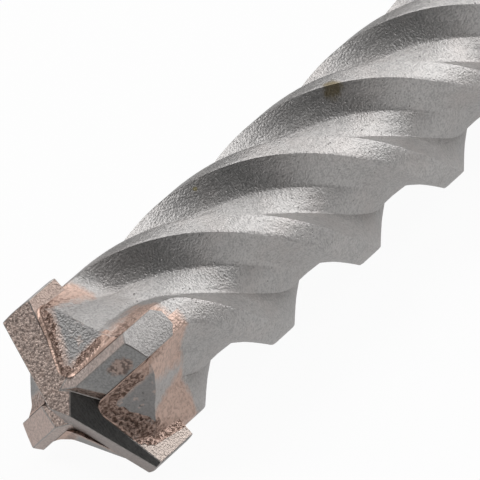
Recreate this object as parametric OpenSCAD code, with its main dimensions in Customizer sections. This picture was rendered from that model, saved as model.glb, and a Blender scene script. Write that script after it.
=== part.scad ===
// Hammer drill bit with a four-edge carbide head and a slotted quick-change shank
// Row frame: +X runs along the axis to the tip, +Z is up, the origin is the centre of the striking face

/* [Overall] */
// Overall length from the striking face to the chisel edge, mm
overall_length = 320; // [300:1:420]
// Fluted length measured back from the chisel edge, mm
working_length = 200; // [140:1:280]

/* [Carbide cross] */
// Cutting diameter over the carbide tips, mm
cutting_d = 32; // [30:0.5:36]
// Thickness of the main cutting arms, mm
main_t = 5.55; // [4.8:0.05:6]
// Thickness of the side cutting arms, mm
side_t = 5.2; // [4.6:0.05:5.8]
// Radius of the fillets where the arms meet, mm
root_r = 2.9; // [2:0.1:3.4]
// Depth of the plates below the nominal apex at the outer end, mm
plate_depth = 15.2; // [13.5:0.1:17]
// Chamfer on the rear edges of the side plates, mm
side_foot = 1.3; // [0.8:0.1:1.8]
// Fall of the main cutting edge from the centre to the outer end, degrees
main_slope = 19.6; // [16:0.1:24]
// Distance of the main crest from the middle plane at the outer end, mm
main_crest_out = 0.55; // [0.2:0.05:1]
// Distance of the chisel corner from the middle plane, mm
chisel_y = 1.17; // [0.9:0.01:1.5]
// Distance of the chisel corner from the axis along the arm, mm
chisel_x = 1.52; // [1.2:0.01:2]
// Drop from the main crest to the leading wall at the outer end, mm
main_lead_drop = 1.1; // [0.6:0.05:1.6]
// Drop from the main crest to the trailing wall at the outer end, mm
main_trail_drop = 1.4; // [0.8:0.05:2]
// Distance from the axis to where the steep inner faces meet the walls, mm
thin_x = 5.5; // [4:0.1:7]
// Depth of the steep inner leading face at that place, mm
thin_lead_z = 4.24; // [3.4:0.02:5]
// Depth of the steep inner trailing face at that place, mm
thin_trail_z = 4.2; // [3.4:0.02:5]
// Depth of the side crest below the nominal apex at the outer end, mm
side_crest_z = 5.45; // [5:0.05:7]
// Fall of the side cutting edge towards its outer end, degrees
side_slope = 16.7; // [12:0.1:22]
// Distance of the side crest from its leading wall, mm
side_crest_in = 1.33; // [0.8:0.01:2]
// Drop of the chamfer on the leading side of the side crest, mm
side_lead_drop = 1.3; // [0.8:0.05:1.8]
// Fall of the side clearance face, degrees
side_clear = 23.7; // [16:0.1:28]
// Distance from the axis to the inner end of the side crest, mm
side_start = 4.9; // [4:0.1:6.5]
// Fall of the root face at the inner end of the side arm towards the axis, degrees
root_fall = 17; // [10:0.5:30]
// Fall of the root face across the side arm, degrees
root_cross_fall = 35.2; // [28:0.1:42]

/* [Fluted body] */
// Diameter over the helical lands, mm
land_d = 28.2; // [27:0.1:29]
// Diameter of the solid core between the flutes, mm
core_d = 18.6; // [17:0.1:21]
// Lead of the right-hand helix, one full turn, mm
lead = 100.5; // [85:0.5:125]
// Width of each land measured around the axis, degrees
land_deg = 19.8; // [17:0.1:22]
// Width of each flute flank measured around the axis, degrees
flank_deg = 21.2; // [19:0.1:24]
// Length of the straight head behind the nominal apex, mm
head_length = 20.1; // [18:0.1:24]
// Length of the soft bend between the straight head and the helix, mm
bend_length = 6; // [3:0.5:9]
// Length over which the flutes fade out at the neck, mm
fade_length = 18; // [12:1:26]

/* [Steel front] */
// Depth of the front faces ahead of the main arms, carried to the axis, mm
front_lead_z = 0.5; // [0.2:0.05:1.2]
// Fall of these faces along the main arms, degrees
front_lead_main_fall = 31.8; // [27:0.1:34]
// Fall of these faces along the side arms, degrees
front_lead_side_fall = 24.2; // [20:0.1:28]
// Height of the front faces behind the main arms above the apex, carried to the axis, mm
front_trail_z = 1.25; // [0.8:0.05:1.6]
// Fall of these faces along the main arms, degrees
front_trail_main_fall = 29.7; // [27:0.1:33]
// Fall of these faces along the side arms, degrees
front_trail_side_fall = 33; // [29:0.1:36]

/* [Shank and neck] */
// Shank diameter, mm
shank_d = 18; // [18:0.1:18]
// Plain and grooved shank length in front of the striking face, mm
shank_length = 90; // [86:1:100]
// Chamfer at the striking end, mm
end_chamfer = 1.6; // [1:0.1:2]
// Length of the cone between shank and neck, mm
cone_length = 8; // [5:0.5:14]
// Neck diameter, mm
neck_d = 25; // [23:0.1:26]
// Length of the open drive grooves, mm
drive_length = 56; // [50:1:58]
// Width of the single drive groove, mm
drive_wide = 6.4; // [5.5:0.1:7]
// Width of the paired drive grooves, mm
drive_narrow = 5; // [4:0.1:5.6]
// Depth of the drive grooves, mm
drive_depth = 2.5; // [2:0.1:2.8]
// Angle of the paired drive grooves from the single one, degrees
drive_angle = 145; // [140:1:150]
// Width of the shallow ring between the grooves and the guide stretch, mm
ring_width = 1.4; // [1.2:0.1:3]
// Depth of the shallow ring, mm
ring_depth = 0.35; // [0.2:0.05:0.5]
// Length of the closed locking grooves, mm
lock_length = 25; // [22:1:28]
// Distance of the closed locking grooves from the striking face, mm
lock_start = 27; // [22:1:30]
// Width of the closed locking grooves, mm
lock_width = 6.6; // [5.5:0.1:7]
// Depth of the closed locking grooves, mm
lock_depth = 2.6; // [2:0.1:3]

/* [Hidden] */
eps = 0.01;
cut_r = cutting_d / 2;
land_r = land_d / 2;
core_r = core_d / 2;
main_h = main_t / 2;
side_h = side_t / 2;
// nominal apex, where the main crests would meet
chisel_drop = chisel_x * tan(main_slope);
apex = overall_length + chisel_drop;
plate_end = apex - plate_depth;
flute_start = overall_length - working_length;
turn_z = apex - head_length;
ring_start = drive_length + 0.6;
ring_end = ring_start + ring_width;

// Profile of one quarter of the helical body, as angle ahead of the arm and radius
function helix_quarter() = let(
    a = land_deg / 2,
    f = flank_deg,
    d = land_r - core_r
) [
    [0, land_r],
    [a / 2, land_r],
    [a, land_r],
    [a + f / 2, land_r - 0.52 * d],
    [a + f, core_r + 0.02 * d],
    [45, core_r],
    [90 - a - f, core_r + 0.07 * d],
    [90 - a - 0.66 * f, core_r + 0.19 * d],
    [90 - a - 0.36 * f, core_r + 0.44 * d],
    [90 - a - 0.14 * f, core_r + 0.76 * d],
    [90 - a, land_r],
    [90 - a / 2, land_r]
];

// Profile of the front of the head ahead of a main arm, with the cutting edge laid bare
function front_quarter_main() = [
    [0, land_r],
    [4, 0.97 * land_r],
    [8, 0.91 * land_r],
    [14, 0.85 * land_r],
    [22, 0.85 * land_r],
    [41, 0.835 * land_r],
    [51, 0.875 * land_r],
    [60, 0.925 * land_r],
    [66, 0.965 * land_r],
    [72, 0.99 * land_r],
    [77, land_r],
    [84, land_r]
];

// Profile of the front of the head ahead of a side arm
function front_quarter_side() = [
    [0, land_r],
    [5, land_r],
    [10, 0.93 * land_r],
    [17, 0.845 * land_r],
    [29, 0.805 * land_r],
    [41, 0.81 * land_r],
    [51, 0.85 * land_r],
    [59, 0.91 * land_r],
    [65, 0.955 * land_r],
    [70, 0.995 * land_r],
    [76, land_r],
    [84, land_r]
];

front_profile = concat(
    front_quarter_main(),
    [for (p = front_quarter_side()) [p[0] + 90, p[1]]],
    [for (p = front_quarter_main()) [p[0] + 180, p[1]]],
    [for (p = front_quarter_side()) [p[0] + 270, p[1]]]
);

helix_profile = [for (q = [0:3]) for (p = helix_quarter()) [p[0] + 90 * q, p[1]]];
n_profile = len(helix_profile);

// Turn of the lands at a height, zero in the straight head, with a soft bend
function turn_at(z) = let(
    s = turn_z - z,
    b = bend_length / 2
) s < -b ? 0 : (s > b ? -360 * s / lead : -360 * (s + b) * (s + b) / (4 * b * lead));

// Share of the helix profile against the front profile
function head_mix(z) = let(
    t = (apex - 6.8 - z) / (head_length - 6.8)
) t < 0 ? 0 : (t > 1 ? 1 : t);

// Share of the flute depth that is left near the neck
function fade_mix(z) = let(
    t = (z - flute_start - 2) / fade_length
) t < 0 ? 0 : (t > 1 ? 1 : sin(90 * t));

function section_radius(z, j) = let(
    m = head_mix(z),
    r = front_profile[j][1] * (1 - m) + helix_profile[j][1] * m,
    f = land_r - (land_r - r) * fade_mix(z)
) z < flute_start + eps ? neck_d / 2 + 0.4 : f;

function section_angle(z, j) = let(
    m = head_mix(z)
) front_profile[j][0] * (1 - m) + helix_profile[j][0] * m + turn_at(z);

// Heights of the sections, from the neck to the front
helix_low = flute_start + 1.4;
helix_high = turn_z - bend_length / 2;
n_turn = ceil((helix_high - helix_low) * 360 / lead / 8);
levels = concat(
    [flute_start],
    [for (i = [0:n_turn]) helix_low + (helix_high - helix_low) * i / n_turn],
    [turn_z - bend_length / 6, turn_z + bend_length / 6, turn_z + bend_length / 2],
    [for (i = [1:3]) turn_z + bend_length / 2 + (apex - 6.8 - turn_z - bend_length / 2) * i / 3],
    [apex + 1]
);
n_levels = len(levels);

// Fluted body as one closed surface
module fluted_body() {
    polyhedron(
        points = [
            for (i = [0:n_levels - 1])
                for (j = [0:n_profile - 1])
                    let(
                        z = levels[i],
                        r = section_radius(z, j),
                        a = section_angle(z, j)
                    )
                    [r * cos(a), r * sin(a), z]
        ],
        faces = concat(
            [[for (j = [0:n_profile - 1]) j]],
            [
                for (i = [0:n_levels - 2])
                    for (j = [0:n_profile - 1])
                        let(
                            k = (j + 1) % n_profile,
                            a = i * n_profile + j,
                            b = i * n_profile + k,
                            c = (i + 1) * n_profile + j
                        )
                        [a, c, b]
            ],
            [
                for (i = [0:n_levels - 2])
                    for (j = [0:n_profile - 1])
                        let(
                            k = (j + 1) % n_profile,
                            b = i * n_profile + k,
                            c = (i + 1) * n_profile + j,
                            d = (i + 1) * n_profile + k
                        )
                        [b, c, d]
            ],
            [[for (j = [n_profile - 1:-1:0]) (n_levels - 1) * n_profile + j]]
        ),
        convexity = 10
    );
}

// Outline of the carbide cross with filleted inner corners
module cross_outline(reach) {
    union() {
        square([2 * reach, main_t], center = true);
        square([side_t, 2 * reach], center = true);
        difference() {
            square([side_t + 2 * root_r, main_t + 2 * root_r], center = true);
            for (sx = [-1, 1])
                for (sy = [-1, 1])
                    translate([sx * (side_h + root_r), sy * (main_h + root_r)])
                        circle(r = root_r, $fn = 64);
        }
    }
}

// Block above a sloping plane, to trim a roof
module above(plane, x0, x1, y0, y1) {
    top = apex + 30;
    function at(x, y) = apex + plane[0] + plane[1] * x + plane[2] * y;
    polyhedron(
        points = [
            [x0, y0, at(x0, y0)],
            [x1, y0, at(x1, y0)],
            [x1, y1, at(x1, y1)],
            [x0, y1, at(x0, y1)],
            [x0, y0, top],
            [x1, y0, top],
            [x1, y1, top],
            [x0, y1, top]
        ],
        faces = [
            [0, 1, 2, 3],
            [7, 6, 5, 4],
            [0, 4, 5, 1],
            [1, 5, 6, 2],
            [2, 6, 7, 3],
            [3, 7, 4, 0]
        ]
    );
}

// Plates of the cross as a solid, with the rear edges of the side plates chamfered
module cross_plates(reach, height) {
    difference() {
        translate([0, 0, plate_end])
            linear_extrude(height = height)
                cross_outline(reach);
        for (sx = [-1, 1])
            for (sy = [-1, 1])
                translate([sx * side_h, sy * (main_h + root_r + 0.2), plate_end])
                    rotate([sy * -90, 0, 0])
                        linear_extrude(height = reach)
                            polygon([
                                [-side_foot, 0],
                                [0, sy * -side_foot],
                                [side_foot, 0],
                                [0, sy * side_foot]
                            ]);
    }
}

// Block that trims the steel front in the quadrant of positive x and y
module front_trim(depth, main_fall, side_fall) {
    w = cut_r + 4;
    above([-depth, -tan(main_fall), -tan(side_fall)], 0, w, 0, w);
}

// Neck and shank as one turned shape, from the striking face to inside the fluted body
module turned_shank() {
    shank_r = shank_d / 2;
    neck_r = neck_d / 2;
    ring_r = shank_r - ring_depth;
    rotate_extrude($fn = 96)
        polygon([
            [0, 0],
            [shank_r - end_chamfer, 0],
            [shank_r, end_chamfer],
            [shank_r, ring_start],
            [ring_r, ring_start + ring_depth],
            [ring_r, ring_end - ring_depth],
            [shank_r, ring_end],
            [shank_r, shank_length],
            [neck_r, shank_length + cone_length],
            [neck_r, flute_start + 1],
            [0, flute_start + 1]
        ]);
}

// Open drive groove, running out of the striking face
module drive_groove(width) {
    translate([shank_d / 2 - drive_depth, -width / 2, -1])
        cube([drive_depth + 2, width, drive_length - width / 2 + 1]);
    translate([shank_d / 2 - drive_depth, 0, drive_length - width / 2])
        rotate([0, 90, 0])
            cylinder(r = width / 2, h = drive_depth + 2, $fn = 48);
}

// Closed locking groove with a round floor and round ends
module lock_groove() {
    ball_r = lock_width * lock_width / (8 * lock_depth) + lock_depth / 2;
    off = shank_d / 2 - lock_depth + ball_r;
    z0 = lock_start + lock_width / 2;
    z1 = lock_start + lock_length - lock_width / 2;
    translate([off, 0, z0])
        cylinder(r = ball_r, h = z1 - z0, $fn = 64);
    for (z = [z0, z1])
        translate([off, 0, z])
            sphere(r = ball_r, $fn = 64);
}

// Steel body with helical flutes, head pocket, neck and shank
module steel_shape() {
    difference() {
        union() {
            fluted_body();
            turned_shank();
        }
        for (a = [0, 180])
            rotate([0, 0, a]) {
                front_trim(front_lead_z, front_lead_main_fall, front_lead_side_fall);
                mirror([1, 0, 0])
                    front_trim(-front_trail_z, front_trail_main_fall, front_trail_side_fall);
            }
        cross_plates(cut_r + 4, plate_depth + 8);
        rotate([0, 0, 90])
            drive_groove(drive_wide);
        for (s = [-1, 1])
            rotate([0, 0, 90 + s * drive_angle])
                drive_groove(drive_narrow);
        for (a = [0, 180])
            rotate([0, 0, a])
                lock_groove();
    }
}

// Plane through three points, as height on the axis and slopes along x and y
function plane_of(p, q, r) = let(
    u = q - p,
    v = r - p,
    n = cross(u, v),
    sx = -n[0] / n[2],
    sy = -n[1] / n[2]
) [p[2] - sx * p[0] - sy * p[1], sx, sy];

// Corners of the main arms, in heights below the nominal apex
corner_a = [chisel_x, chisel_y, -chisel_drop];
crest_out = [cut_r, main_crest_out, -cut_r * tan(main_slope)];
lead_out = [cut_r, main_h, crest_out[2] - main_lead_drop];
lead_thin = [thin_x, main_h, -thin_lead_z];
trail_out = [cut_r, -main_h, crest_out[2] - main_trail_drop];
trail_thin = [thin_x, -main_h, -thin_trail_z];
main_planes = [
    plane_of(corner_a, crest_out, lead_out),
    plane_of(corner_a, lead_out, lead_thin),
    plane_of(corner_a, crest_out, trail_out),
    plane_of(corner_a, [-chisel_x, -chisel_y, -chisel_drop], trail_thin)
];

// Planes of the side arm along +y: chamfer, clearance and root
side_crest_x = side_crest_in - side_h;
side_start_z = -side_crest_z + (cut_r - side_start) * tan(side_slope);
chamfer_rate = side_lead_drop / side_crest_in;
side_axis_z = side_start_z + side_start * tan(side_slope);
root_axis_z = side_start_z + side_crest_x * tan(root_cross_fall) - side_start * tan(root_fall);
side_planes = [
    [side_axis_z - chamfer_rate * side_crest_x, chamfer_rate, -tan(side_slope)],
    [side_axis_z + side_crest_x * tan(side_clear), -tan(side_clear), -tan(side_slope)],
    [root_axis_z, -tan(root_cross_fall), tan(root_fall)]
];

// Plates of the cross with the ground roof of the main arms
module main_arms() {
    w = cut_r + 5;
    difference() {
        cross_plates(cut_r + 4, plate_depth + 2);
        for (a = [0, 180])
            rotate([0, 0, a])
                for (plane = main_planes)
                    above(plane, -w, w, -w, w);
    }
}

// Upper part of one side arm, along +y
module side_arm() {
    w = cut_r + 5;
    y0 = 1.2;
    difference() {
        intersection() {
            cross_plates(cut_r + 4, plate_depth + 2);
            translate([-side_h - 1.2, y0, plate_end - 1])
                cube([side_t + 2.4, w, plate_depth + 4]);
        }
        for (plane = side_planes)
            above(plane, -w / 2, w / 2, y0 - 1, w);
    }
}

// One-piece carbide cross, cylindrically ground
module carbide_shape() {
    intersection() {
        translate([0, 0, plate_end - 1])
            cylinder(r = cut_r, h = plate_depth + 4, $fn = 180);
        union() {
            main_arms();
            for (a = [0, 180])
                rotate([0, 0, a])
                    side_arm();
        }
    }
}

// Steel body node
module steel_body() {
    color([0.62, 0.6, 0.58])
        rotate([45, 0, 0])
            rotate([0, 90, 0])
                steel_shape();
}

// Carbide cross node
module carbide_cross() {
    color([0.3, 0.3, 0.3])
        rotate([45, 0, 0])
            rotate([0, 90, 0])
                carbide_shape();
}

steel_body();
carbide_cross();
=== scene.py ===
"""Hammer drill bit with a brazed carbide cross head, dressed for a studio view."""

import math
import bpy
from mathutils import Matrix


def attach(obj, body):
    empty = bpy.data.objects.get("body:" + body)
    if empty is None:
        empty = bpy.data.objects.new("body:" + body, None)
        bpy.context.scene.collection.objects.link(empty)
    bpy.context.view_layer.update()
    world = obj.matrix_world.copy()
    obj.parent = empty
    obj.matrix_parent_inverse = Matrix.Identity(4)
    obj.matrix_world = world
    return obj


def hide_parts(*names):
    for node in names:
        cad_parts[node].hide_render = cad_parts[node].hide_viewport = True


bl_info = {
    "name": "Hammer drill bit",
    "version": (1, 0, 0),
    "blender": (4, 5, 0),
    "location": "3D View > Sidebar > Drill Bit",
    "description": "Shot-blasted fluted body, brazed carbide cross head and a studio stage",
    "category": "Object",
}

import bmesh
import bpy
from bpy.props import FloatProperty, FloatVectorProperty, PointerProperty
from mathutils import Matrix, Vector, noise

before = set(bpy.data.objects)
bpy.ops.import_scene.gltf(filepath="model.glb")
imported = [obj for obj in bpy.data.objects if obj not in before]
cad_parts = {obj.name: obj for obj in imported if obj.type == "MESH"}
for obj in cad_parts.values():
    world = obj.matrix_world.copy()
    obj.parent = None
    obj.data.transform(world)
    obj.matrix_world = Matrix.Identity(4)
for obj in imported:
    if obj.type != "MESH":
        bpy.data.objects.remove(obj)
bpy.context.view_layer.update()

MM = 0.001
HALF = math.sqrt(0.5)

# Radius between the flutes and over the lands, as shares, ahead of each arm in degrees
HELIX_QUARTER = [
    (0, 1.0), (9.9, 1.0), (20.3, 0.46), (30.4, 0.01), (45, 0.0),
    (61.5, 0.05), (66.3, 0.19), (72.5, 0.46), (77.1, 0.77), (80.1, 1.0), (90, 1.0),
]
# The same at the front of the head, ahead of a main arm and ahead of a side arm, as shares of the land radius
FRONT_MAIN = [
    (0, 1.0), (4, 0.97), (8, 0.91), (14, 0.85), (22, 0.85), (41, 0.835), (51, 0.875),
    (60, 0.925), (66, 0.965), (72, 0.99), (77, 1.0), (90, 1.0),
]
FRONT_SIDE = [
    (0, 1.0), (5, 1.0), (10, 0.93), (17, 0.845), (29, 0.805), (41, 0.81), (51, 0.85),
    (59, 0.91), (65, 0.955), (70, 0.995), (76, 1.0), (90, 1.0),
]
# Steel front ahead of and behind a main arm: height on the axis in mm, fall along the main and side arms
FRONT_LEAD = (-0.5, math.tan(math.radians(31.8)), math.tan(math.radians(24.2)))
FRONT_TRAIL = (1.25, math.tan(math.radians(29.7)), math.tan(math.radians(33)))
QUADRANTS = (((1, 1), FRONT_LEAD), ((-1, -1), FRONT_LEAD), ((-1, 1), FRONT_TRAIL), ((1, -1), FRONT_TRAIL))
# Depth below the apex down to which the head keeps its front outline
FRONT_DEPTH = 6.8 * MM
# Points around one ring of the body
RING_POINTS = 180


class BitSizes(bpy.types.PropertyGroup):
    """Sizes of the drill bit"""

    overall: FloatProperty(
        name="Overall length", description="Striking face to chisel edge",
        default=320 * MM, unit="LENGTH",
    )
    working: FloatProperty(
        name="Working length", description="Fluted length behind the chisel edge",
        default=200 * MM, unit="LENGTH",
    )
    cutting_r: FloatProperty(
        name="Cutting radius", description="Radius over the carbide",
        default=16 * MM, unit="LENGTH",
    )
    main_t: FloatProperty(
        name="Main arm thickness", description="Thickness of the main carbide arms",
        default=5.55 * MM, unit="LENGTH",
    )
    side_t: FloatProperty(
        name="Side arm thickness", description="Thickness of the side carbide arms",
        default=5.2 * MM, unit="LENGTH",
    )
    root_r: FloatProperty(
        name="Root fillet", description="Fillet between the carbide arms",
        default=2.9 * MM, unit="LENGTH",
    )
    plate_depth: FloatProperty(
        name="Plate depth", description="Depth of the carbide at its outer end",
        default=15.2 * MM, unit="LENGTH",
    )
    land_r: FloatProperty(
        name="Land radius", description="Radius over the helical lands",
        default=14.1 * MM, unit="LENGTH",
    )
    core_r: FloatProperty(
        name="Core radius", description="Radius of the core between the flutes",
        default=9.3 * MM, unit="LENGTH",
    )
    lead: FloatProperty(
        name="Lead", description="Length of one turn of the helix",
        default=100.5 * MM, unit="LENGTH",
    )
    head: FloatProperty(
        name="Head length", description="Straight head behind the apex",
        default=20.1 * MM, unit="LENGTH",
    )
    bend: FloatProperty(
        name="Bend length", description="Soft bend from the head into the helix",
        default=6 * MM, unit="LENGTH",
    )
    fade: FloatProperty(
        name="Flute fade", description="Length over which the flutes fade out",
        default=18 * MM, unit="LENGTH",
    )
    neck_r: FloatProperty(
        name="Neck radius", description="Radius of the plain neck",
        default=12.5 * MM, unit="LENGTH",
    )
    shank_r: FloatProperty(
        name="Shank radius", description="Radius of the shank",
        default=9 * MM, unit="LENGTH",
    )
    shank: FloatProperty(
        name="Shank length", description="Shank in front of the striking face",
        default=90 * MM, unit="LENGTH",
    )
    cone: FloatProperty(
        name="Cone length", description="Cone between shank and neck",
        default=8 * MM, unit="LENGTH",
    )
    end_chamfer: FloatProperty(
        name="End chamfer", description="Chamfer at the striking end",
        default=1.6 * MM, unit="LENGTH",
    )
    side_foot: FloatProperty(
        name="Side plate foot", description="Chamfer on the rear edges of the side plates",
        default=1.3 * MM, unit="LENGTH",
    )
    ring_start: FloatProperty(
        name="Ring start", description="Shallow ring in front of the striking face",
        default=56.6 * MM, unit="LENGTH",
    )
    ring_width: FloatProperty(
        name="Ring width", description="Width of the shallow ring",
        default=1.4 * MM, unit="LENGTH",
    )
    ring_depth: FloatProperty(
        name="Ring depth", description="Depth of the shallow ring",
        default=0.35 * MM, unit="LENGTH",
    )
    drive_length: FloatProperty(
        name="Drive groove length", description="Length of the open drive grooves",
        default=56 * MM, unit="LENGTH",
    )
    drive_wide: FloatProperty(
        name="Wide drive groove", description="Width of the single drive groove",
        default=6.4 * MM, unit="LENGTH",
    )
    drive_narrow: FloatProperty(
        name="Narrow drive grooves", description="Width of the paired drive grooves",
        default=5 * MM, unit="LENGTH",
    )
    drive_depth: FloatProperty(
        name="Drive groove depth", description="Depth of the drive grooves",
        default=2.5 * MM, unit="LENGTH",
    )
    drive_angle: FloatProperty(
        name="Drive groove angle", description="Angle of the paired grooves from the single one",
        default=math.radians(145), unit="ROTATION",
    )
    lock_start: FloatProperty(
        name="Locking groove start", description="Locking grooves in front of the striking face",
        default=27 * MM, unit="LENGTH",
    )
    lock_length: FloatProperty(
        name="Locking groove length", description="Length of the closed locking grooves",
        default=25 * MM, unit="LENGTH",
    )
    lock_width: FloatProperty(
        name="Locking groove width", description="Width of the closed locking grooves",
        default=6.6 * MM, unit="LENGTH",
    )
    lock_depth: FloatProperty(
        name="Locking groove depth", description="Depth of the closed locking grooves",
        default=2.6 * MM, unit="LENGTH",
    )


class BitFinish(bpy.types.PropertyGroup):
    """Colours of the drill bit"""

    steel: FloatVectorProperty(
        name="Blasted steel", description="Shot-blasted steel",
        subtype="COLOR", size=3, min=0, max=1, default=(0.52, 0.505, 0.495),
    )
    steel_dark: FloatVectorProperty(
        name="Steel grain", description="Darker grains of the blasted steel",
        subtype="COLOR", size=3, min=0, max=1, default=(0.37, 0.36, 0.355),
    )
    film: FloatVectorProperty(
        name="Copper film", description="Thin copper film around the carbide",
        subtype="COLOR", size=3, min=0, max=1, default=(0.68, 0.485, 0.40),
    )
    braze: FloatVectorProperty(
        name="Braze", description="Bright rough braze",
        subtype="COLOR", size=3, min=0, max=1, default=(0.47, 0.335, 0.28),
    )
    braze_dark: FloatVectorProperty(
        name="Braze scale", description="Dark scale in the rough braze",
        subtype="COLOR", size=3, min=0, max=1, default=(0.13, 0.08, 0.06),
    )
    carbide_ground: FloatVectorProperty(
        name="Ground carbide", description="Fine ground dark faces",
        subtype="COLOR", size=3, min=0, max=1, default=(0.10, 0.10, 0.097),
    )


def apex_x(s):
    """Place of the nominal apex along the row frame."""
    return s.overall + 1.52 * MM * math.tan(math.radians(19.6))


def to_row(s):
    """From the head's own axes (main arm, side arm, axis) to the row frame."""
    return Matrix(((0, 0, 1, apex_x(s)), (HALF, HALF, 0, 0), (-HALF, HALF, 0, 0), (0, 0, 0, 1)))


class Sock:
    """A socket that can be used in arithmetic."""

    def __init__(self, mat, sock):
        self.mat = mat
        self.sock = sock

    def math(self, op, a, b=None):
        return self.mat.add("ShaderNodeMath", {"operation": op}, [a, b])

    def __add__(self, o):
        return self.math("ADD", self, o)

    __radd__ = __add__

    def __mul__(self, o):
        return self.math("MULTIPLY", self, o)

    __rmul__ = __mul__

    def __sub__(self, o):
        return self.math("SUBTRACT", self, o)

    def __rsub__(self, o):
        return self.math("SUBTRACT", o, self)

    def __pow__(self, o):
        return self.math("POWER", self, o)

    def __abs__(self):
        return self.math("ABSOLUTE", self)

    def lower(self, o):
        return self.math("MINIMUM", self, o)

    def higher(self, o):
        return self.math("MAXIMUM", self, o)

    def ramp(self, low, high):
        """0 below low and 1 above high, or the reverse where low is the larger."""
        return self.mat.add(
            "ShaderNodeMapRange",
            {"interpolation_type": "SMOOTHSTEP"},
            {"Value": self, "From Min": low, "From Max": high, "To Min": 0.0, "To Max": 1.0},
            "Result",
        )


class Maker:
    """Adds nodes to one material, or to the world."""

    def __init__(self, name, world=None):
        self.material = world or bpy.data.materials.new(name)
        self.material.use_nodes = True
        self.tree = self.material.node_tree
        self.shader = self.tree.nodes.get("Principled BSDF") or self.tree.nodes["Background"]

    def add(self, kind, settings=None, inputs=None, out=0):
        node = self.tree.nodes.new(kind)
        for key, value in (settings or {}).items():
            setattr(node, key, value)
        pairs = inputs.items() if isinstance(inputs, dict) else enumerate(inputs or [])
        for key, value in pairs:
            if value is None:
                continue
            if isinstance(value, Sock):
                self.tree.links.new(value.sock, node.inputs[key])
            else:
                node.inputs[key].default_value = value
        return Sock(self, node.outputs[out])

    def place(self):
        coords = self.tree.nodes.new("ShaderNodeTexCoord")
        return Sock(self, coords.outputs["Object"])

    def axes(self, vector):
        split = self.tree.nodes.new("ShaderNodeSeparateXYZ")
        self.tree.links.new(vector.sock, split.inputs[0])
        return [Sock(self, split.outputs[i]) for i in range(3)]

    def noise(self, vector, size, detail=2.0, rough=0.5):
        """Noise about size metres across, from 0 to 1."""
        return self.add(
            "ShaderNodeTexNoise",
            None,
            {"Vector": vector, "Scale": 1.0 / size, "Detail": detail, "Roughness": rough},
            "Fac",
        )

    def mix(self, factor, a, b):
        node = self.tree.nodes.new("ShaderNodeMix")
        node.data_type = "RGBA"
        for index, value in ((0, factor), (6, a), (7, b)):
            if isinstance(value, Sock):
                self.tree.links.new(value.sock, node.inputs[index])
            elif index == 0:
                node.inputs[index].default_value = value
            else:
                node.inputs[index].default_value = (*value[:3], 1.0)
        return Sock(self, node.outputs[2])

    def bump(self, height, depth, strength=1.0):
        return self.add(
            "ShaderNodeBump", None, {"Height": height, "Distance": depth, "Strength": strength}, "Normal"
        )

    def set(self, **values):
        for key, value in values.items():
            socket = self.shader.inputs[key.replace("_", " ")]
            if isinstance(value, Sock):
                self.tree.links.new(value.sock, socket)
            elif hasattr(value, "__len__") and len(value) == 3:
                socket.default_value = (*value, 1.0)
            else:
                socket.default_value = value
        return self.material


def shown_white(m, target, strength, mirrored, camera=1.0):
    """Shows plain white to the camera, and a share of it to mirrored and refracted rays."""
    path = m.tree.nodes.new("ShaderNodeLightPath")
    glossy = Sock(m, path.outputs["Is Glossy Ray"])
    passed = Sock(m, path.outputs["Is Transmission Ray"])
    share = (Sock(m, path.outputs["Is Camera Ray"]) * camera).higher(glossy.higher(passed) * mirrored)
    white = m.add(strength, None, {"Color": (1, 1, 1, 1), "Strength": 1.0})
    mixer = m.tree.nodes.new("ShaderNodeMixShader")
    m.tree.links.new(share.sock, mixer.inputs[0])
    m.tree.links.new(m.shader.outputs[0], mixer.inputs[1])
    m.tree.links.new(white.sock, mixer.inputs[2])
    m.tree.links.new(mixer.outputs[0], m.tree.nodes[target].inputs["Surface"])


def head_axes(m, s):
    """The head's own axes as sockets, in metres, with the nominal apex at zero."""
    x, y, z = m.axes(m.place())
    main = (y - z) * HALF
    side = (y + z) * HALF
    along = x - apex_x(s)
    return main, side, along


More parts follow.
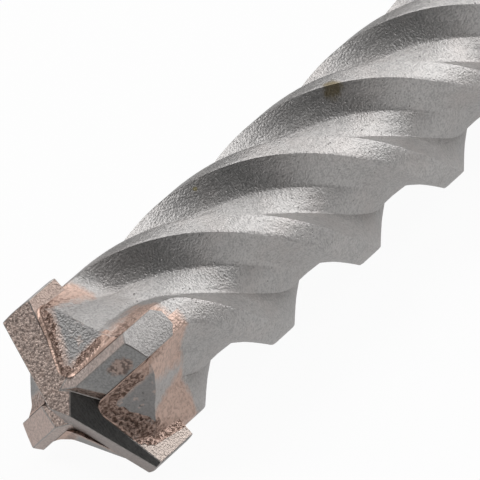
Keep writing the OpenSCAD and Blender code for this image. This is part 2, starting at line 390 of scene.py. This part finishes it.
def blasted_steel(s, f):
    """Shot-blasted steel with copper stains around the carbide, and painted shade on the front facets."""
    m = Maker("shot-blasted steel")
    main, side, along = head_axes(m, s)
    place = m.place()
    fine = m.noise(place, 0.34 * MM, 1.6, 0.5)
    mid = m.noise(place, 1.1 * MM, 3.0, 0.6)
    broad = m.noise(place, 7 * MM, 3.0, 0.5)
    pits = m.noise(place, 0.5 * MM, 1.0, 0.4).ramp(0.72, 0.80)
    colour = m.mix((fine * 0.7 + mid * 0.3).ramp(0.34, 0.62), f.steel_dark, f.steel)
    colour = m.mix(broad.ramp(0.4, 0.75) * 0.25, colour, (0.51, 0.455, 0.43))
    colour = m.mix(pits * 0.6, colour, (0.12, 0.115, 0.11))
    # 1 in the quadrants ahead of the main arms
    lead = (main * side).ramp(-1e-7, 1e-7)
    # distance from the plates, on the outside of the cross
    near_main = (abs(side) - s.main_t / 2).higher(abs(main) - s.cutting_r)
    near_side = (abs(main) - s.side_t / 2).higher(abs(side) - s.cutting_r)
    near = near_main.lower(near_side)
    dist = near.higher(((along * -1.0) - s.plate_depth) * 0.9)
    wobble = (mid - 0.5) * (2.4 * MM) + (broad - 0.5) * (2.4 * MM)
    wide = (dist + wobble - lead * (1.8 * MM)).ramp(2.7 * MM, 1.3 * MM)
    close = (dist + wobble * 0.5).ramp(2.5 * MM, 1.6 * MM)
    rough_film = (dist + wobble * 0.6).ramp(1.5 * MM, 0.7 * MM) * (along.ramp(-15 * MM, -10 * MM))
    grain = m.noise(place, 0.55 * MM, 2.0, 0.55)
    # facets of the steel front are painted a little darker as painted shade, with a crisp ragged border
    front = []
    for depth, main_fall, side_fall in (FRONT_LEAD, FRONT_TRAIL):
        front.append(along + abs(main) * main_fall + abs(side) * side_fall - depth * MM)
    lift = front[0] * lead + front[1] * (1.0 - lead)
    facet = (lift + (grain - 0.5) * (0.5 * MM)).ramp(-0.32 * MM, -0.14 * MM)
    # painted shade: the front facets are mixed towards near black, more ahead of the main arms
    colour = m.mix(facet * (0.42 + lead * 0.14), colour, (0.10, 0.10, 0.10))
    colour = m.mix(facet * mid.ramp(0.58, 0.68) * 0.3, colour, f.film)
    stain = wide + facet * (close * 0.6 - wide)
    colour = m.mix(stain * 0.85, colour, m.mix(grain.ramp(0.36, 0.58), (0.50, 0.35, 0.285), f.film))
    colour = m.mix(rough_film * 0.6, colour, m.mix(grain.ramp(0.4, 0.58), f.braze_dark, f.braze))
    # oily rust spot and a yellow speck on the dark flanks
    for (spot_x, spot_y, spot_z), size, tint in (
        ((-9.57, 9.33, -79.4), 2.1 * MM, (0.22, 0.17, 0.075)),
        ((-12.0, 4.6, -47.4), 0.5 * MM, (0.42, 0.36, 0.16)),
    ):
        away = (main - spot_x * MM) ** 2.0 + (side - spot_y * MM) ** 2.0 + (along - spot_z * MM) ** 2.0
        ragged = away ** 0.5 + (mid - 0.5) * (size * 0.8)
        colour = m.mix(ragged.ramp(size, size * 0.45) * 0.75, colour, tint)
    height = fine * 0.8 + mid * 0.3 - pits * 0.6 + rough_film * grain * 0.8 + facet * grain * 0.5
    normal = m.bump(height, 0.15 * MM, 0.9)
    return m.set(Base_Color=colour, Metallic=0.94, Roughness=0.43 + fine * 0.12, Normal=normal)


def braze_finish(s, f):
    """Rough copper braze with dark scale, smoother and paler beside the plates."""
    m = Maker("rough braze")
    main, side, _ = head_axes(m, s)
    place = m.place()
    grain = m.noise(place, 0.5 * MM, 2.2, 0.55)
    mid = m.noise(place, 1.6 * MM, 2.0, 0.6)
    colour = m.mix((grain * 0.8 + mid * 0.2).ramp(0.38, 0.62), f.braze_dark, f.braze)
    colour = m.mix(mid.ramp(0.6, 0.75) * 0.3, colour, f.steel)
    lead = (main * side).ramp(-1e-7, 1e-7)
    near_side = (abs(main) - s.side_t / 2) * (0.55 + lead * 0.45)
    near = (abs(side) - s.main_t / 2).lower(near_side) + lead * (0.28 * MM)
    pale = (near + (mid - 0.5) * (0.5 * MM)).ramp(0.62 * MM, 0.34 * MM)
    # the scale thins out towards the ends of the side arms
    spread = (mid - 0.5) * (3 * MM) - lead * (2.2 * MM)
    outer = (abs(side) + spread).ramp(9.2 * MM, 10.8 * MM)
    colour = m.mix(pale.higher(outer * 0.85) * 0.75, colour, f.film)
    colour = m.mix((near - lead * (0.28 * MM)).ramp(0.10 * MM, 0.03 * MM) * 0.8, colour, (0.05, 0.035, 0.03))
    normal = m.bump(grain * (1.0 - pale * 0.7 - outer * 0.25), 0.42 * MM, 1.0)
    return m.set(Base_Color=colour, Metallic=0.75, Roughness=0.42 + outer * 0.08, Normal=normal)


def carbide_finish(kind, s, f, base, rough, metallic, copper, grit):
    """Finish of one kind of carbide face, with braze stains by share, and a painted reflection near the root
    of the clearance face.
    """
    m = Maker(kind + " carbide")
    main, side, along = head_axes(m, s)
    place = m.place()
    fine = m.noise(place, (0.44 if grit > 1.1 else 0.36) * MM, 2.0, 0.55)
    mid = m.noise(place, 1.0 * MM, 3.0, 0.6)
    grain = m.noise(place, 0.55 * MM, 2.0, 0.55)
    coarse = grit > 1.1
    darker = tuple((0.42 if coarse else 0.72) * c for c in base)
    colour = m.mix((fine * 0.8 + mid * 0.2).ramp(0.36, 0.62), darker, base)
    share = mid.ramp(0.62 - 0.5 * copper, 0.72 - 0.5 * copper) * min(1.0, copper * 1.6)
    if kind == "clearance":
        # faint copper smear in the middle of the face
        away = ((main - 0.9 * MM) * 1.5) ** 2.0 + (side - 12.0 * MM) ** 2.0
        share = share.higher((away ** 0.5 + (mid - 0.5) * (2.2 * MM)).ramp(2.4 * MM, 1.5 * MM) * 0.8)
        # painted reflection: the clearance face is painted lighter grey towards the root of the arm
        colour = m.mix(side.ramp(7 * MM, 4.5 * MM) * 0.5, colour, (0.50, 0.47, 0.45))
    if kind == "wall":
        # braze smeared on the wall below a line that drops towards the end of the arm
        out = abs(main)
        line = (out - 5.5 * MM) * 0.2437 + 4.24 * MM
        line = line + (out - 11.2 * MM).higher(0.0) + (out - 13.2 * MM).higher(0.0) * 6.0
        share = (along + line + (mid - 0.5) * (1.6 * MM)).ramp(0.2 * MM, -0.1 * MM)
    film = m.mix(grain.ramp(0.40, 0.58), f.braze_dark, f.braze)
    colour = m.mix(share, colour, film)
    height = fine * grit + share * grain * 1.3
    if kind == "ground":
        # fine grinding lines
        squeezed = m.add("ShaderNodeVectorMath", {"operation": "MULTIPLY"}, [place, (9.0, 1.0, 1.0)])
        streak = m.noise(squeezed, 1.6 * MM, 2.0, 0.6)
        height = height + streak * 0.5
        colour = m.mix(streak.ramp(0.35, 0.7) * 0.35, colour, tuple(1.5 * c for c in base))
    normal = m.bump(height, 0.18 * MM, 0.9)
    return m.set(Base_Color=colour, Metallic=metallic, Roughness=rough + fine * 0.1, Normal=normal)


def blend_curve(points, angle):
    """Value at an angle between listed points."""
    for (a0, v0), (a1, v1) in zip(points, points[1:]):
        if a0 <= angle <= a1:
            return v0 + (v1 - v0) * (angle - a0) / (a1 - a0)
    return points[-1][1]


def softened(curve, angle, width):
    """Curve value averaged over a small angle, so that corners come out rounded."""
    total = 0.0
    for k in (-1.0, -0.5, 0.0, 0.5, 1.0):
        a = (angle + k * width) % 90
        total += blend_curve(curve, a)
    return total / 5


def turn_at(s, z):
    """Turn of the lands in degrees at a height below the apex."""
    back = -s.head - z
    half = s.bend / 2
    if back < -half:
        return 0.0
    if back > half:
        return -360 * back / s.lead
    return -360 * (back + half) ** 2 / (4 * half * s.lead)


def section(s, z, count):
    """Ring of points around the axis at a height below the apex."""
    t = min(1.0, max(0.0, (-FRONT_DEPTH - z) / (s.head - FRONT_DEPTH)))
    start = s.overall - s.working - apex_x(s)
    f = min(1.0, max(0.0, (z - start - 2 * MM) / s.fade))
    f = math.sin(f * math.pi / 2)
    ring = []
    for i in range(count):
        a = 360 * i / count
        front = FRONT_MAIN if (a // 90) % 2 == 0 else FRONT_SIDE
        near = s.land_r * softened(front, a % 90, 0.0)
        far = s.core_r + (s.land_r - s.core_r) * softened(HELIX_QUARTER, a % 90, 0.4)
        r = near * (1 - t) + far * t
        r = s.land_r - (s.land_r - r) * f
        turn = math.radians(a + turn_at(s, z))
        ring.append(Vector((r * math.cos(turn), r * math.sin(turn), z)))
    return ring


def add_object(name, bm, materials):
    """New object at the origin from a bmesh."""
    mesh = bpy.data.meshes.new(name)
    bm.to_mesh(mesh)
    bm.free()
    for mat in materials:
        mesh.materials.append(mat)
    obj = bpy.data.objects.new(name, mesh)
    bpy.context.scene.collection.objects.link(obj)
    return obj


def cross_block(s, reach, low, high):
    """Closed block with the outline of the carbide cross and chamfered feet on the side plates."""
    bm = bmesh.new()
    mh = s.main_t / 2
    sh = s.side_t / 2
    r = s.root_r
    bend = [math.radians(90 * k / 10) for k in range(11)]
    outline = [(reach, mh)]
    outline += [(sh + r - r * math.sin(a), mh + r - r * math.cos(a)) for a in bend]
    outline += [(sh, reach)]
    outline += [(-x, y) for x, y in reversed(outline)]
    outline += [(-x, -y) for x, y in outline]
    face = bm.faces.new([bm.verts.new((x, y, low)) for x, y in outline])
    up = bmesh.ops.extrude_face_region(bm, geom=[face])
    moved = [g for g in up["geom"] if isinstance(g, bmesh.types.BMVert)]
    bmesh.ops.translate(bm, verts=moved, vec=(0, 0, high - low))
    bmesh.ops.recalc_face_normals(bm, faces=bm.faces)
    foot = [
        e for e in bm.edges
        if all(abs(abs(v.co.x) - sh) < 1e-7 and abs(v.co.z - low) < 1e-7 for v in e.verts)
        and abs(e.verts[0].co.y - e.verts[1].co.y) > 5 * MM
    ]
    bmesh.ops.bevel(
        bm, geom=foot, offset=s.side_foot, offset_type="OFFSET", segments=1, profile=0.5,
        affect="EDGES", material=-1,
    )
    return bm


def sloped_block(plane, reach, quadrant):
    """Block above a sloping plane in one quadrant, to trim the steel front."""
    depth, main_fall, side_fall = plane
    bm = bmesh.new()
    made = bmesh.ops.create_cube(bm, size=1.0)
    bmesh.ops.translate(bm, verts=made["verts"], vec=(0.5, 0.5, 0.5))
    bmesh.ops.scale(bm, verts=made["verts"], vec=(reach, reach, 12 * MM))
    for v in bm.verts:
        if v.co.z < 1 * MM:
            v.co.z = depth * MM - main_fall * v.co.x - side_fall * v.co.y
    bmesh.ops.scale(bm, verts=bm.verts, vec=(quadrant[0], quadrant[1], 1))
    bmesh.ops.recalc_face_normals(bm, faces=bm.faces)
    return add_object("front", bm, [])


def cut(obj, tools):
    """Cuts obj with other objects, exactly, and removes them."""
    for tool in tools:
        mod = obj.modifiers.new("cut", "BOOLEAN")
        mod.operation = "DIFFERENCE"
        mod.solver = "EXACT"
        mod.object = tool
    depsgraph = bpy.context.evaluated_depsgraph_get()
    mesh = bpy.data.meshes.new_from_object(obj.evaluated_get(depsgraph))
    obj.modifiers.clear()
    old = obj.data
    obj.data = mesh
    bpy.data.meshes.remove(old)
    for tool in tools:
        bpy.data.objects.remove(tool)


def finish_piece(obj, s, smooth=math.radians(32)):
    """Moves a mesh made on the head's axes into the row frame and sets its shading."""
    obj.data.transform(to_row(s))
    for p in obj.data.polygons:
        p.use_smooth = True
    obj.data.set_sharp_from_angle(angle=smooth)


class BIT_OT_body(bpy.types.Operator):
    """Fluted steel body with the head, neck and slotted shank"""

    bl_idname = "drillbit.body"
    bl_label = "Fluted body"

    def execute(self, context):
        s = context.scene.bit_sizes
        f = context.scene.bit_finish
        count = RING_POINTS
        rear = -apex_x(s)
        start = s.overall - s.working + rear
        # shank, relief ring, cone and neck, as heights above the striking face and radii
        ring_end = s.ring_start + s.ring_width
        ring_r = s.shank_r - s.ring_depth
        plain = [
            (0, s.shank_r - s.end_chamfer), (s.end_chamfer, s.shank_r), (s.ring_start, s.shank_r),
            (s.ring_start + s.ring_depth, ring_r), (ring_end - s.ring_depth, ring_r), (ring_end, s.shank_r),
            (s.shank, s.shank_r), (s.shank + s.cone, s.neck_r), (start - rear, s.neck_r),
        ]
        rings = []
        for z, r in plain:
            turns = [2 * math.pi * i / count for i in range(count)]
            rings.append([Vector((r * math.cos(a), r * math.sin(a), rear + z)) for a in turns])
        low = start + 1.4 * MM
        high = -s.head - s.bend / 2
        steps = 150
        zs = [start] + [low + (high - low) * k / steps for k in range(steps + 1)]
        zs += [-s.head - s.bend / 2 + s.bend * k / 6 for k in range(1, 7)]
        top = -s.head + s.bend / 2
        zs += [top + (-FRONT_DEPTH - top) * k / 6 for k in range(1, 7)] + [1 * MM]
        turn0 = turn_at(s, start)
        for z in zs:
            ring = section(s, z, count)
            if z == start:
                r = s.neck_r + 0.4 * MM
                ring = [Vector((p.x, p.y, 0)).normalized() * r + Vector((0, 0, z)) for p in ring]
            rings.append(ring)
        # turn the plain rings to meet the first fluted ring
        spin = Matrix.Rotation(math.radians(turn0), 3, "Z")
        for k in range(len(plain)):
            rings[k] = [spin @ p for p in rings[k]]
        bm = bmesh.new()
        verts = [bm.verts.new(p) for p in rings[0]]
        bm.faces.new(list(reversed(verts)))
        for points in rings[1:]:
            edges = [bm.edges.get((verts[i], verts[(i + 1) % count])) for i in range(count)]
            step = bmesh.ops.extrude_edge_only(bm, edges=edges)
            fresh = {}
            for v in (g for g in step["geom"] if isinstance(g, bmesh.types.BMVert)):
                for e in v.link_edges:
                    other = e.other_vert(v)
                    if other in fresh:
                        continue
                    if other not in step["geom"]:
                        fresh[other] = v
            verts = [fresh[v] for v in verts]
            for v, p in zip(verts, points):
                v.co = p
        bm.faces.new(verts)
        bmesh.ops.recalc_face_normals(bm, faces=bm.faces)
        body = add_object("steel-body", bm, [blasted_steel(s, f)])
        tools = [add_object("pocket", cross_block(s, s.cutting_r + 4 * MM, -s.plate_depth, 6 * MM), [])]
        for quadrant, plane in QUADRANTS:
            tools.append(sloped_block(plane, s.cutting_r + 4 * MM, quadrant))
        tools += groove_tools(s)
        cut(body, tools)
        finish_piece(body, s)
        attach(body, "root")
        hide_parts("steel_body")
        return {"FINISHED"}


def groove_tools(s):
    """Cutters for the three open drive grooves and the two closed locking grooves."""
    tools = []
    rear = -apex_x(s)
    proud = 2 * MM
    block = s.drive_depth + proud
    middle = s.shank_r + (proud - s.drive_depth) / 2
    quarter = math.radians(90)
    for angle, width in (
        (quarter, s.drive_wide),
        (quarter + s.drive_angle, s.drive_narrow),
        (quarter - s.drive_angle, s.drive_narrow),
    ):
        turn = Matrix.Rotation(angle, 3, "Z")
        length = s.drive_length - width / 2
        bm = bmesh.new()
        bmesh.ops.create_cube(bm, size=1.0)
        bmesh.ops.scale(bm, verts=bm.verts, vec=(block, width, length + proud))
        bmesh.ops.translate(bm, verts=bm.verts, vec=(middle, 0, rear + (length - proud) / 2))
        bmesh.ops.rotate(bm, verts=bm.verts, cent=(0, 0, 0), matrix=turn)
        tools.append(add_object("groove", bm, []))
        bm = bmesh.new()
        bmesh.ops.create_cone(
            bm, cap_ends=True, segments=48, radius1=width / 2, radius2=width / 2, depth=block
        )
        bmesh.ops.rotate(bm, verts=bm.verts, cent=(0, 0, 0), matrix=Matrix.Rotation(quarter, 3, "Y"))
        bmesh.ops.translate(bm, verts=bm.verts, vec=(middle, 0, rear + length))
        bmesh.ops.rotate(bm, verts=bm.verts, cent=(0, 0, 0), matrix=turn)
        tools.append(add_object("groove", bm, []))
    # a ball stretched along the shank cuts a groove with a round floor and round ends
    ball = s.lock_width ** 2 / (8 * s.lock_depth) + s.lock_depth / 2
    for angle in (0, 2 * quarter):
        bm = bmesh.new()
        bmesh.ops.create_uvsphere(bm, u_segments=48, v_segments=24, radius=ball)
        upper = [v for v in bm.verts if v.co.z > 1e-7]
        bmesh.ops.translate(bm, verts=upper, vec=(0, 0, s.lock_length - s.lock_width))
        shift = (s.shank_r - s.lock_depth + ball, 0, rear + s.lock_start + s.lock_width / 2)
        bmesh.ops.translate(bm, verts=bm.verts, vec=shift)
        bmesh.ops.rotate(bm, verts=bm.verts, cent=(0, 0, 0), matrix=Matrix.Rotation(angle, 3, "Z"))
        tools.append(add_object("groove", bm, []))
    return tools


# Carbide faces: finish on the plus arm and on the minus arm, slopes along both arms, whether on a side arm
CARBIDE_FACES = (
    ("ground", "ground", (0.40, 0.50), False),
    ("ground", "ground", (0.25, 1.70), False),
    ("strip", "rough", (0.34, -0.44), False),
    ("strip", "rough", (0.41, -0.53), False),
    ("chamfer", "chamfer", (-0.98, 0.30), True),
    ("clearance", "stained", (0.44, 0.30), True),
    ("root", "rough", (0.71, -0.31), True),
)
# Finish of each kind of face: colour, roughness, metallic, share of copper, coarseness
CARBIDE_KINDS = {
    "plain": ((0.42, 0.40, 0.39), 0.4, 0.5, 0.1, 0.3),
    "ground": ((0.14, 0.137, 0.132), 0.42, 0.25, 0.0, 0.5),
    "rough": ((0.64, 0.51, 0.45), 0.42, 0.8, 0.2, 2.2),
    "root": ((0.46, 0.36, 0.31), 0.46, 0.6, 0.4, 2.0),
    "strip": ((0.44, 0.385, 0.36), 0.45, 0.45, 0.1, 0.5),
    "chamfer": ((0.62, 0.52, 0.475), 0.4, 0.55, 0.1, 0.7),
    "clearance": ((0.34, 0.335, 0.33), 0.36, 0.5, 0.03, 0.35),
    "stained": ((0.64, 0.505, 0.45), 0.45, 0.5, 0.12, 0.8),
    "end": ((0.46, 0.44, 0.43), 0.4, 0.45, 0.0, 0.7),
    "wall": ((0.50, 0.425, 0.38), 0.34, 0.7, 0.0, 0.6),
    "film": ((0.56, 0.44, 0.385), 0.45, 0.7, 0.06, 1.0),
    "edge": ((0.42, 0.39, 0.37), 0.34, 0.6, 0.0, 0.2),
}


def carbide_kind(s, normal, centre):
    """Finish of a carbide face from its direction and place on the head's axes."""
    if normal.z < -0.3:
        return "plain"
    if normal.z < 0.25:
        if math.hypot(centre.x, centre.y) > s.cutting_r - 0.4 * MM:
            return "end"
        return "film" if normal.y * centre.x < 0 else "wall"
    on_side = abs(centre.y) > 3.6 * MM and abs(centre.x) < s.side_t / 2 + 1.5 * MM
    best = None
    for plus, minus, (sx, sy), side in CARBIDE_FACES:
        for sign in (1, -1):
            away = (Vector((sx * sign, sy * sign, 1)).normalized() - normal).length
            if side != on_side:
                away += 0.35
            if best is None or away < best[0]:
                best = (away, plus if (centre.y if on_side else centre.x) > 0 else minus)
    return best[1]


class BIT_OT_carbide(bpy.types.Operator):
    """Carbide cross with ground and brazed faces and bright cutting edges"""

    bl_idname = "drillbit.carbide"
    bl_label = "Carbide cross"

    def execute(self, context):
        s = context.scene.bit_sizes
        f = context.scene.bit_finish
        kinds = list(CARBIDE_KINDS)
        finishes = []
        for kind in kinds:
            finishes.append(carbide_finish(kind, s, f, *CARBIDE_KINDS[kind]))
        bm = bmesh.new()
        bm.from_mesh(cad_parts["carbide_cross"].data)
        bmesh.ops.remove_doubles(bm, verts=bm.verts, dist=0.04 * MM)
        bmesh.ops.transform(bm, matrix=to_row(s).inverted(), verts=bm.verts)
        bmesh.ops.dissolve_limit(bm, angle_limit=math.radians(0.6), verts=bm.verts, edges=bm.edges)
        bm.normal_update()
        for face in bm.faces:
            face.material_index = kinds.index(carbide_kind(s, face.normal, face.calc_center_median()))
        sharp = [
            e for e in bm.edges
            if len(e.link_faces) == 2
            and e.calc_face_angle(0) > math.radians(14)
            and e.calc_length() > 0.4 * MM
            and sum(v.co.z for v in e.verts) / 2 > -s.plate_depth + 0.3 * MM
        ]
        bmesh.ops.bevel(
            bm, geom=sharp, offset=0.12 * MM, offset_type="OFFSET", segments=1, profile=0.5,
            affect="EDGES", material=kinds.index("edge"), clamp_overlap=False,
        )
        carbide = add_object("carbide-cross", bm, finishes)
        finish_piece(carbide, s, math.radians(12))
        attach(carbide, "root")
        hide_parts("carbide_cross")
        return {"FINISHED"}


def wall_path(s, main_end, side_end):
    """Points along the plates' walls in one quadrant, with the direction away from the wall."""
    mh = s.main_t / 2
    sh = s.side_t / 2
    r = s.root_r
    path = []
    n = 44
    for k in range(n):
        path.append((Vector((main_end + (sh + r - main_end) * k / n, mh)), Vector((0, 1))))
    for k in range(13):
        a = math.radians(90 * k / 12)
        away = Vector((math.sin(a), math.cos(a)))
        path.append((Vector((sh + r, mh + r)) - away * r, away))
    for k in range(1, n + 1):
        path.append((Vector((sh, mh + r + (side_end - mh - r) * k / n)), Vector((1, 0))))
    return path


def steel_height(plane, x, y):
    """Height of the steel front in one quadrant."""
    depth, main_fall, side_fall = plane
    return depth * MM - main_fall * x - side_fall * y


def steel_edge(s, plane, x, y):
    """Radius of the steel front in one quadrant, towards a point."""
    angle = math.degrees(math.atan2(y, x))
    share = blend_curve(FRONT_MAIN, angle) if plane is FRONT_LEAD else blend_curve(FRONT_SIDE, 90 - angle)
    return s.land_r * share


def wall_top(s, x, y, lead):
    """Height of the plate's upper edge along its walls, in one quadrant."""
    if y < s.main_t / 2 + s.root_r * 0.3:
        if lead:
            return (-4.24 - 0.2437 * (x / MM - 5.5) - 1.35 * max(0.0, x / MM - 11.2)) * MM
        return (-4.2 - 0.4016 * (x / MM - 5.5)) * MM
    if lead:
        return (-4.33 - 0.299 * (y / MM - 6.6)) * MM
    return (-3.65 - 0.3035 * (y / MM - 5.68)) * MM


def room_to_edge(s, plane, point, away, wide):
    """Width that a fillet may have before it passes the steel's outer edge."""
    steps = 24
    for k in range(steps + 1):
        x, y = point + away * (wide * k / steps)
        if math.hypot(x, y) > steel_edge(s, plane, x, y):
            return max(0.05 * MM, wide * (k - 1) / steps)
    return wide


# Fillet ends along the main and side walls and widths there, in mm, ahead of and behind a main arm
FILLET_LEAD = (12.0, 13.9, 2.7, 1.9)
FILLET_TRAIL = (13.9, 12.4, 2.3, 2.2)


class BIT_OT_braze(bpy.types.Operator):
    """Rough copper fillets of braze along the walls of the plates"""

    bl_idname = "drillbit.braze"
    bl_label = "Braze fillets"

    def execute(self, context):
        s = context.scene.bit_sizes
        f = context.scene.bit_finish
        finish = braze_finish(s, f)
        for number, (quadrant, plane) in enumerate(QUADRANTS):
            lead = plane is FRONT_LEAD
            ends = [v * MM for v in (FILLET_LEAD if lead else FILLET_TRAIL)]
            main_end, side_end, main_wide, side_wide = ends
            path = wall_path(s, main_end, side_end)
            total = len(path) - 1
            rows = 12
            widths = []
            for i, (point, away) in enumerate(path):
                share = i / total
                wide = main_wide + (side_wide - main_wide) * share
                wide *= min(1.0, 7 * share + 0.3, 7 * (1 - share) + 0.25)
                wide *= 1 + 0.25 * noise_at(point.x * 800 + number * 7.3, point.y * 800, 0.0)
                widths.append(room_to_edge(s, plane, point, away, wide))
            bm = bmesh.new()
            bmesh.ops.create_grid(bm, x_segments=total, y_segments=rows, size=0.5)
            for v in bm.verts:
                i = round((v.co.x + 0.5) * total)
                t = round((v.co.y + 0.5) * rows) / rows
                point, away = path[i]
                x, y = point + away * widths[i] * t
                base = steel_height(plane, x, y)
                foot = steel_height(plane, point.x, point.y)
                top = wall_top(s, point.x, point.y, lead) - 0.03 * MM
                if lead and point.x > 10.5 * MM and point.y < 4 * MM:
                    top += 0.9 * MM * noise_at(point.x * 620, 4.2, 1.7)
                inside = steel_edge(s, plane, point.x, point.y) - math.hypot(point.x, point.y)
                # a fillet runs out where its wall leaves the steel
                rise = max(0.10 * MM, top - foot) * min(1.0, max(0.04, (inside + 0.2 * MM) / (1.3 * MM)))
                grain = noise_at(x * 1900, y * 1900, number * 3.1)
                grain += 0.6 * noise_at(x * 4200, y * 4200, number * 5.1)
                slope = (1 - t) ** (1.35 if lead else 1.7)
                rough = 0.10 * MM * grain * min(1.0, 6 * t) * (1 - t * t)
                z = base + rise * slope - 0.05 * MM * t + rough
                v.co = (x, y, z)
            low = bmesh.ops.extrude_face_region(bm, geom=bm.faces[:])
            sunk = [g for g in low["geom"] if isinstance(g, bmesh.types.BMVert)]
            bmesh.ops.translate(bm, verts=sunk, vec=(0, 0, -1.0 * MM))
            bmesh.ops.scale(bm, verts=bm.verts, vec=(quadrant[0], quadrant[1], 1))
            bmesh.ops.recalc_face_normals(bm, faces=bm.faces)
            fillet = add_object("braze-fillet-%d" % (number + 1), bm, [finish])
            finish_piece(fillet, s, math.radians(60))
            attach(fillet, "root")
        return {"FINISHED"}


def noise_at(x, y, z):
    """Smooth noise from about -1 to 1, the same each run."""
    return noise.noise(Vector((x, y, z)))


def area_lamp(name, place, aim, size, power):
    """Soft square lamp aimed at a point."""
    data = bpy.data.lights.new(name, "AREA")
    data.shape = "SQUARE"
    data.size = size
    data.energy = power
    obj = bpy.data.objects.new(name, data)
    bpy.context.scene.collection.objects.link(obj)
    obj.location = place
    obj.rotation_euler = (Vector(aim) - Vector(place)).to_track_quat("-Z", "Y").to_euler()
    return obj


class BIT_OT_stage(bpy.types.Operator):
    """Pale floor, soft lamps and the camera of the photograph"""

    bl_idname = "drillbit.stage"
    bl_label = "Studio stage"

    def execute(self, context):
        s = context.scene.bit_sizes
        scene = context.scene
        scene.view_settings.view_transform = "Standard"
        bm = bmesh.new()
        bmesh.ops.create_grid(bm, x_segments=1, y_segments=1, size=6.0)
        bmesh.ops.translate(bm, verts=bm.verts, vec=(0.2, 0, -s.land_r - 0.0001))
        m = Maker("pale floor")
        m.set(Base_Color=(0.8, 0.8, 0.8), Roughness=0.9)
        shown_white(m, "Material Output", "ShaderNodeEmission", 0.57, 0.95)
        floor = add_object("floor", bm, [m.material])

        world = bpy.data.worlds.new("studio")
        scene.world = world
        m = Maker("", world)
        m.set(Color=(0.92, 0.95, 1.0), Strength=0.02)
        shown_white(m, "World Output", "ShaderNodeBackground", 0.06)

        # camera on the head's own axes, in cutting radii
        r = s.cutting_r
        turn = to_row(s)
        place = turn @ (Vector((0.0676, 43.78, 37.37)) * r)
        right = turn.to_3x3() @ Vector((0.6645, 0.5068, -0.5492))
        up = turn.to_3x3() @ Vector((-0.7473, 0.4533, -0.4859))
        back_dir = right.cross(up)
        data = bpy.data.cameras.new("photo camera")
        data.sensor_width = 36.0
        data.lens = 460.64
        data.clip_end = 50
        camera = bpy.data.objects.new("photo camera", data)
        scene.collection.objects.link(camera)
        pose = Matrix((right, up, back_dir)).transposed().to_4x4()
        pose.translation = place
        camera.matrix_world = pose
        scene.camera = camera

        aim = Vector((0.27, 0, 0))
        for name, around, tilt, power in (
            ("key", 48, 0, 3.1), ("top", 140, 20, 3.4), ("under", -90, -12, 0.3),
            ("rear", 92, -8, 1.9), ("side", -15, -12, 0.5),
        ):
            flat = math.cos(math.radians(tilt))
            way = right * flat * math.cos(math.radians(around)) + up * flat * math.sin(math.radians(around))
            way += back_dir * math.sin(math.radians(tilt))
            area_lamp(name, aim + way * 0.8, aim, 0.5, power)
        return {"FINISHED"}


class BIT_PT_panel(bpy.types.Panel):
    """Lists the pieces of the drill bit"""

    bl_label = "Drill Bit"
    bl_idname = "BIT_PT_panel"
    bl_space_type = "VIEW_3D"
    bl_region_type = "UI"
    bl_category = "Drill Bit"

    def draw(self, context):
        column = self.layout.column()
        for operator in OPERATORS:
            column.operator(operator.bl_idname)
        for group in (context.scene.bit_sizes, context.scene.bit_finish):
            for name in group.__annotations__:
                column.prop(group, name)


OPERATORS = (BIT_OT_body, BIT_OT_carbide, BIT_OT_braze, BIT_OT_stage)
CLASSES = (BitSizes, BitFinish) + OPERATORS + (BIT_PT_panel,)


def register():
    for cls in CLASSES:
        bpy.utils.register_class(cls)
    bpy.types.Scene.bit_sizes = PointerProperty(type=BitSizes)
    bpy.types.Scene.bit_finish = PointerProperty(type=BitFinish)


def unregister():
    del bpy.types.Scene.bit_finish
    del bpy.types.Scene.bit_sizes
    for cls in reversed(CLASSES):
        bpy.utils.unregister_class(cls)


def main():
    register()
    bpy.ops.drillbit.body()
    bpy.ops.drillbit.carbide()
    bpy.ops.drillbit.braze()
    bpy.ops.drillbit.stage()
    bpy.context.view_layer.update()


if __name__ == "__main__":
    main()
